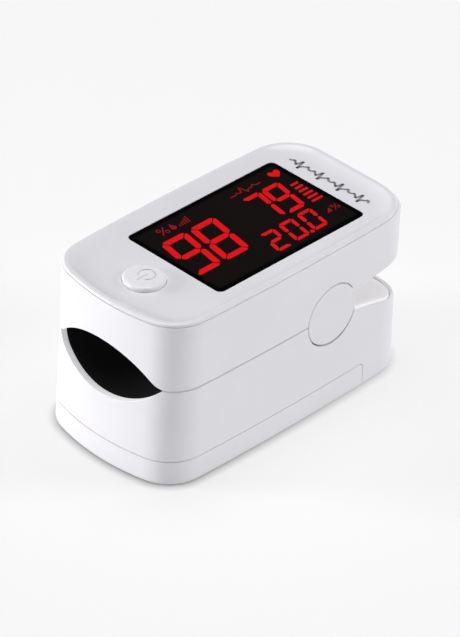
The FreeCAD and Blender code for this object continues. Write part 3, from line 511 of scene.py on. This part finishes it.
def digit(which, u0, v0, width, height, stroke):
    """Outlines of one seven-segment digit whose lower left corner is at (u0, v0)."""
    w, h, t = width, height, stroke
    gap = 0.075 * stroke + 0.04
    chamfer = 0.55 * t
    c2 = chamfer / 2
    m = h / 2
    upper_right = [(w - c2, h - c2 - gap), (w, h - chamfer - gap), (w, m + t * 0.42 + gap),
                   (w - t * 0.5, m + gap), (w - t, m + t * 0.5 + gap), (w - t, h - t - gap)]
    top = [(chamfer + gap, h), (w - chamfer - gap, h), (w - c2 - gap, h - c2), (w - t - gap, h - t),
           (t + gap, h - t), (c2 + gap, h - c2)]
    middle = [(t * 0.5 + gap, m), (t + gap, m + t / 2), (w - t - gap, m + t / 2), (w - t * 0.5 - gap, m),
              (w - t - gap, m - t / 2), (t + gap, m - t / 2)]
    shapes = {
        "a": top,
        "b": upper_right,
        "c": [(x, h - y) for x, y in upper_right],
        "d": [(x, h - y) for x, y in top],
        "e": [(w - x, h - y) for x, y in upper_right],
        "f": [(w - x, y) for x, y in upper_right],
        "g": middle,
    }
    made = []
    for letter in SEGMENTS[which]:
        outline = softened(shapes[letter], 0.12 * t)
        made.append([(u0 + x + SLANT * y, v0 + y) for x, y in outline])
    return made


def ribbon(points, width):
    """Closed outlines of straight strips along a path."""
    made = []
    half = width / 2
    for a, b in zip(points[:-1], points[1:]):
        a, b = Vector(a), Vector(b)
        side = Vector((-(b - a).y, (b - a).x)).normalized() * half
        made.append([tuple(a + side), tuple(a - side), tuple(b - side), tuple(b + side)])
    return made


def blob(u, v, radius, sides=16):
    """A disc."""
    turns = [2 * math.pi * i / sides for i in range(sides)]
    return [(u + radius * math.cos(a), v + radius * math.sin(a)) for a in turns]


def ring(u, v, radius, width, sides=12):
    """A ring as short strips."""
    corners = blob(u, v, radius, sides)
    return ribbon(corners + corners[:1], width)


def heart(u, v, width, height, steps=20):
    """A heart of full lobes with its middle at (u, v)."""
    made = []
    for i in range(2 * steps):
        a = math.pi * i / steps
        x = 16 * (0.45 * math.sin(a) + 0.55 * math.sin(a) ** 3)
        y = 13 * math.cos(a) - 4 * math.cos(2 * a) - 2 * math.cos(3 * a) - math.cos(4 * a)
        made.append((u + x / 32 * width, v + (y + 2.5) / 29 * height))
    return made


def drop(u, v, size, steps=12):
    """A droplet: a point at the top over a round belly."""
    made = [(u, v + size)]
    for i in range(steps + 1):
        a = math.radians(25 - 230 * i / steps)
        made.append((u + 0.5 * size * math.cos(a), v - 0.1 * size + 0.5 * size * math.sin(a)))
    return made


def percent(u, v, size):
    """A percent sign with its lower left corner at (u, v)."""
    made = ring(u + 0.24 * size, v + 0.78 * size, 0.19 * size, 0.11 * size)
    made += ring(u + 0.86 * size, v + 0.24 * size, 0.19 * size, 0.11 * size)
    made += ribbon([(u + 0.14 * size, v), (u + 0.96 * size, v + size)], 0.13 * size)
    return made


led_red = lit("display_red", (0.80, 0.0040, 0.0080), 0.93)
led_dim = lit("display_red_small", (0.80, 0.010, 0.028), 0.34)

# which figure, its lower left corner, width, height and stroke
big = digit("9", -13.24, -5.21, 5.92, 10.98, 1.22) + digit("8", -6.42, -5.12, 5.92, 10.89, 1.22)
pulse = digit("7", 6.98, -2.28, 4.3, 8.3, 0.95) + digit("9", 11.62, -2.32, 4.3, 8.3, 0.95)
small = digit("2", 2.08, -9.15, 3.42, 5.65, 0.74)
small += digit("0", 6.64, -8.98, 3.4, 5.6, 0.74)
small += digit("0", 11.24, -8.84, 3.4, 5.55, 0.74)
small.append(blob(10.76, -8.6, 0.4))
bars = []
for i in range(6):
    left = 18.1 - 0.155 * i
    low = 3.26 - 1.156 * i
    high = low + 0.54
    bars.append(softened([(left, low), (left + 0.1, high), (19.95, high), (19.85, low)], 0.12))

for piece_name, outlines in (
        ("display_digits_large", big),
        ("display_digits_pulse", pulse),
        ("display_digits_small", small),
        ("display_level_bars", bars),
        ("display_heart", [heart(18.8, 7.9, 2.45, 2.1)])):
    flat_piece(piece_name, outlines, ON_LENS, INK, led_red)

unit_marks = percent(-9.1, 7.25, 1.9) + [drop(-5.9, 7.95, 1.15)]
for i, reach in enumerate((0.5, 0.8, 1.1, 1.4, 1.7)):
    u = -4.7 + 0.55 * i
    unit_marks += ribbon([(u, 7.3), (u + 0.18 * reach, 7.3 + reach)], 0.26)
beat = [(7.8, 7.75), (9.1, 7.75), (9.5, 8.15), (9.9, 7.75), (10.4, 7.75), (10.9, 9.15),
        (11.5, 7.1), (11.9, 7.75), (12.9, 7.75), (13.4, 8.35), (13.9, 7.75), (15.0, 7.75)]
unit_marks += ribbon(beat, 0.24)
unit_marks += percent(18.4, -6.65, 1.45)
unit_marks.append([(16.7, -6.6), (18.0, -6.6), (18.0, -5.35)])
flat_piece("display_unit_marks", unit_marks, ON_LENS, INK, led_dim)

ink_grey = printed_ink("print_grey", (0.30, 0.295, 0.335))
beat_shape = ((0.0, 0.0), (0.0, 0.5), (0.55, 0.9), (0.0, 1.3), (0.0, 1.6), (-0.5, 1.85),
              (1.25, 2.3), (-1.2, 2.8), (0.0, 3.1), (0.0, 3.5), (0.7, 4.0), (0.0, 4.45))
trace = [(24.05 + rise, 9.5 - 4.7 * count - run) for count in range(4) for rise, run in beat_shape]
flat_piece("panel_trace_print", ribbon(trace, 0.46), ON_PANEL, INK, ink_grey)


# ---------------------------------------------------------------- parts that flex at the hinge

def flexing(name, node_name, material, low_z, high_z, step):
    """A copy of a CAD part that stands in its place; the CAD part is hidden.

    Cuts every step mm between the two heights give it the points to bend at.
    """
    bm = bmesh.new()
    bm.from_mesh(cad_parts[node_name].data)
    for i in range(1, round((high_z - low_z) / step)):
        whole = bm.verts[:] + bm.edges[:] + bm.faces[:]
        bmesh.ops.bisect_plane(bm, geom=whole, plane_co=(0, 0, (low_z + step * i) * MM), plane_no=(0, 0, 1))
    mesh = bpy.data.meshes.new(name)
    bm.to_mesh(mesh)
    bm.free()
    mesh.materials.clear()
    mesh.materials.append(material)
    obj = bpy.data.objects.new(name, mesh)
    bpy.context.scene.collection.objects.link(obj)
    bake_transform(obj)
    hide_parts(node_name)


for spring in ("torsion_spring_left", "torsion_spring_right"):
    flexing(spring + "_bending", spring, spring_steel, 18.35, 20.6, 0.5)
flexing("flex_cable_bending", "flex_cable", finishes["flex_cable"], 14.0, 23.5, 0.4)


# ---------------------------------------------------------------- stage, light and camera

FLOOR_HALF = 6.0            # metres from here on
FLOOR_Z = -0.0001
FLOOR_GLOW = 0.54
CONTACT_REACH = 0.0019      # how far the painted shadow under the object's edge reaches
CONTACT_FRONT = 0.64        # how deep that painted shadow is at the object's front, and at its rear
CONTACT_REAR = 0.30
AMBIENT = (0.105, 0.105, 0.110)
CARD = (0.05, 0.05, 0.05)   # what the glossy top faces mirror
BACKDROP = (0.93, 0.93, 0.93, 1)
YAW, PITCH, ROLL = (math.radians(a) for a in (42.839, 35.009, 2.925))
DISTANCE = 0.69709
TARGET = Vector((0, 0, 0.015))
AIM = Vector((0, 0, 0.016))
SHIFT_RIGHT = 0.000480
SHIFT_DOWN = 0.000530
LENS = 230.9                # mm, on a 36 mm sensor
BACK = Vector((math.sin(YAW) * math.cos(PITCH), -math.cos(YAW) * math.cos(PITCH), math.sin(PITCH)))


def stage_floor():
    """Pale floor with a painted shadow where the object meets it: ambient occlusion darkens its colour and
    its glow.
    """
    mesh = bpy.data.meshes.new("floor")
    bm = bmesh.new()
    bmesh.ops.create_grid(bm, x_segments=1, y_segments=1, size=FLOOR_HALF)
    bm.to_mesh(mesh)
    bm.free()
    floor = bpy.data.objects.new("floor", mesh)
    bpy.context.scene.collection.objects.link(floor)
    mat, tree, bsdf = new_material("floor_pale")
    at = coords(tree, 1.0)
    cloud = noise(tree, at, 1.5, 2.0)
    close = node(tree, "ShaderNodeAmbientOcclusion", Distance=CONTACT_REACH)
    close.samples = 16
    depth = ranged(tree, split(tree, at)["Y"], cad_box[0][1], cad_box[1][1],
                   CONTACT_FRONT, CONTACT_REAR)
    shut_in = ranged(tree, close.outputs["AO"], 0.15, 0.95, 1.0, 0.0)
    # Painted shadow: 1 in the open, lower near the object, and lower at its front than at its rear.
    outside_painted_shadow = maths(tree, "SUBTRACT", 1.0, maths(tree, "MULTIPLY", shut_in, depth))
    shade = mixed(tree, cloud, (0.43, 0.43, 0.43), (0.44, 0.44, 0.44))
    tree.links.new(mixed(tree, outside_painted_shadow, (0.0, 0.0, 0.0), shade), bsdf.inputs["Base Color"])
    tree.links.new(mixed(tree, outside_painted_shadow, (0.0, 0.0, 0.0), (1.0, 1.0, 1.0)), bsdf.inputs["Emission Color"])
    bsdf.inputs["Roughness"].default_value = 0.9
    bsdf.inputs["Specular IOR Level"].default_value = 0.1
    bsdf.inputs["Emission Strength"].default_value = FLOOR_GLOW
    mesh.materials.append(mat)
    floor.location.z = FLOOR_Z


def softbox(name, at, size, power, mirrored=True):
    """Rectangular light aimed at the object. mirrored says whether glossy faces show it."""
    data = bpy.data.lights.new(name, "AREA")
    data.shape = "RECTANGLE"
    data.size, data.size_y = size
    data.energy = power
    lamp = bpy.data.objects.new(name, data)
    lamp.location = at
    lamp.rotation_euler = (Vector(at) - AIM).to_track_quat("Z", "Y").to_euler()
    lamp.visible_glossy = mirrored
    bpy.context.scene.collection.objects.link(lamp)


def studio_world():
    """Even pale surroundings, with a dark card behind the object that the glossy top faces mirror."""
    world = bpy.data.worlds.new("studio")
    bpy.context.scene.world = world
    world.use_nodes = True
    tree = world.node_tree
    tree.nodes.clear()
    out = node(tree, "ShaderNodeOutputWorld")
    seen = node(tree, "ShaderNodeBackground", Color=BACKDROP, Strength=1.0)
    lighting = node(tree, "ShaderNodeBackground", Strength=1.0)
    tex = tree.nodes.new("ShaderNodeTexCoord")
    dot = node(tree, "ShaderNodeVectorMath", operation="DOT_PRODUCT")
    tree.links.new(tex.outputs["Generated"], dot.inputs[0])
    dot.inputs[1].default_value = (-BACK.x, -BACK.y, BACK.z)
    card = ranged(tree, dot.outputs["Value"], 0.72, 0.97, 1.0, 0.0, True)
    tree.links.new(mixed(tree, card, CARD, AMBIENT), lighting.inputs["Color"])
    path = node(tree, "ShaderNodeLightPath")
    choose = node(tree, "ShaderNodeMixShader")
    tree.links.new(path.outputs["Is Camera Ray"], choose.inputs[0])
    tree.links.new(lighting.outputs[0], choose.inputs[1])
    tree.links.new(seen.outputs[0], choose.inputs[2])
    tree.links.new(choose.outputs[0], out.inputs[0])


def add_camera():
    """Long lens, above and to the right of the finger end."""
    right = Vector((math.cos(YAW), math.sin(YAW), 0))
    up = BACK.cross(right)
    across = right * math.cos(ROLL) + up * math.sin(ROLL)
    upright = up * math.cos(ROLL) - right * math.sin(ROLL)
    data = bpy.data.cameras.new("camera")
    data.lens = LENS
    data.sensor_width = 36.0
    data.clip_start = 0.01
    camera = bpy.data.objects.new("camera", data)
    place = TARGET + BACK * DISTANCE + across * SHIFT_RIGHT - upright * SHIFT_DOWN
    turn = Matrix((across, upright, BACK)).transposed().to_4x4()
    camera.matrix_world = Matrix.Translation(place) @ turn
    bpy.context.scene.collection.objects.link(camera)
    bpy.context.scene.camera = camera


stage_floor()
studio_world()
# place and size in metres, power in watts
softbox("key_left", (-0.79, -0.75, 0.19), (0.35, 0.3), 9.45)
softbox("fill_right", (0.72, 0.83, 0.50), (0.4, 0.4), 4.85, mirrored=False)
softbox("top", (-0.05, 0.05, 1.0), (0.8, 0.8), 6.05)
softbox("kicker", (0.70, -0.12, 0.62), (0.4, 0.4), 0.5)
add_camera()
bpy.context.scene.view_settings.view_transform = "Standard"
bpy.context.scene.view_settings.look = "None"
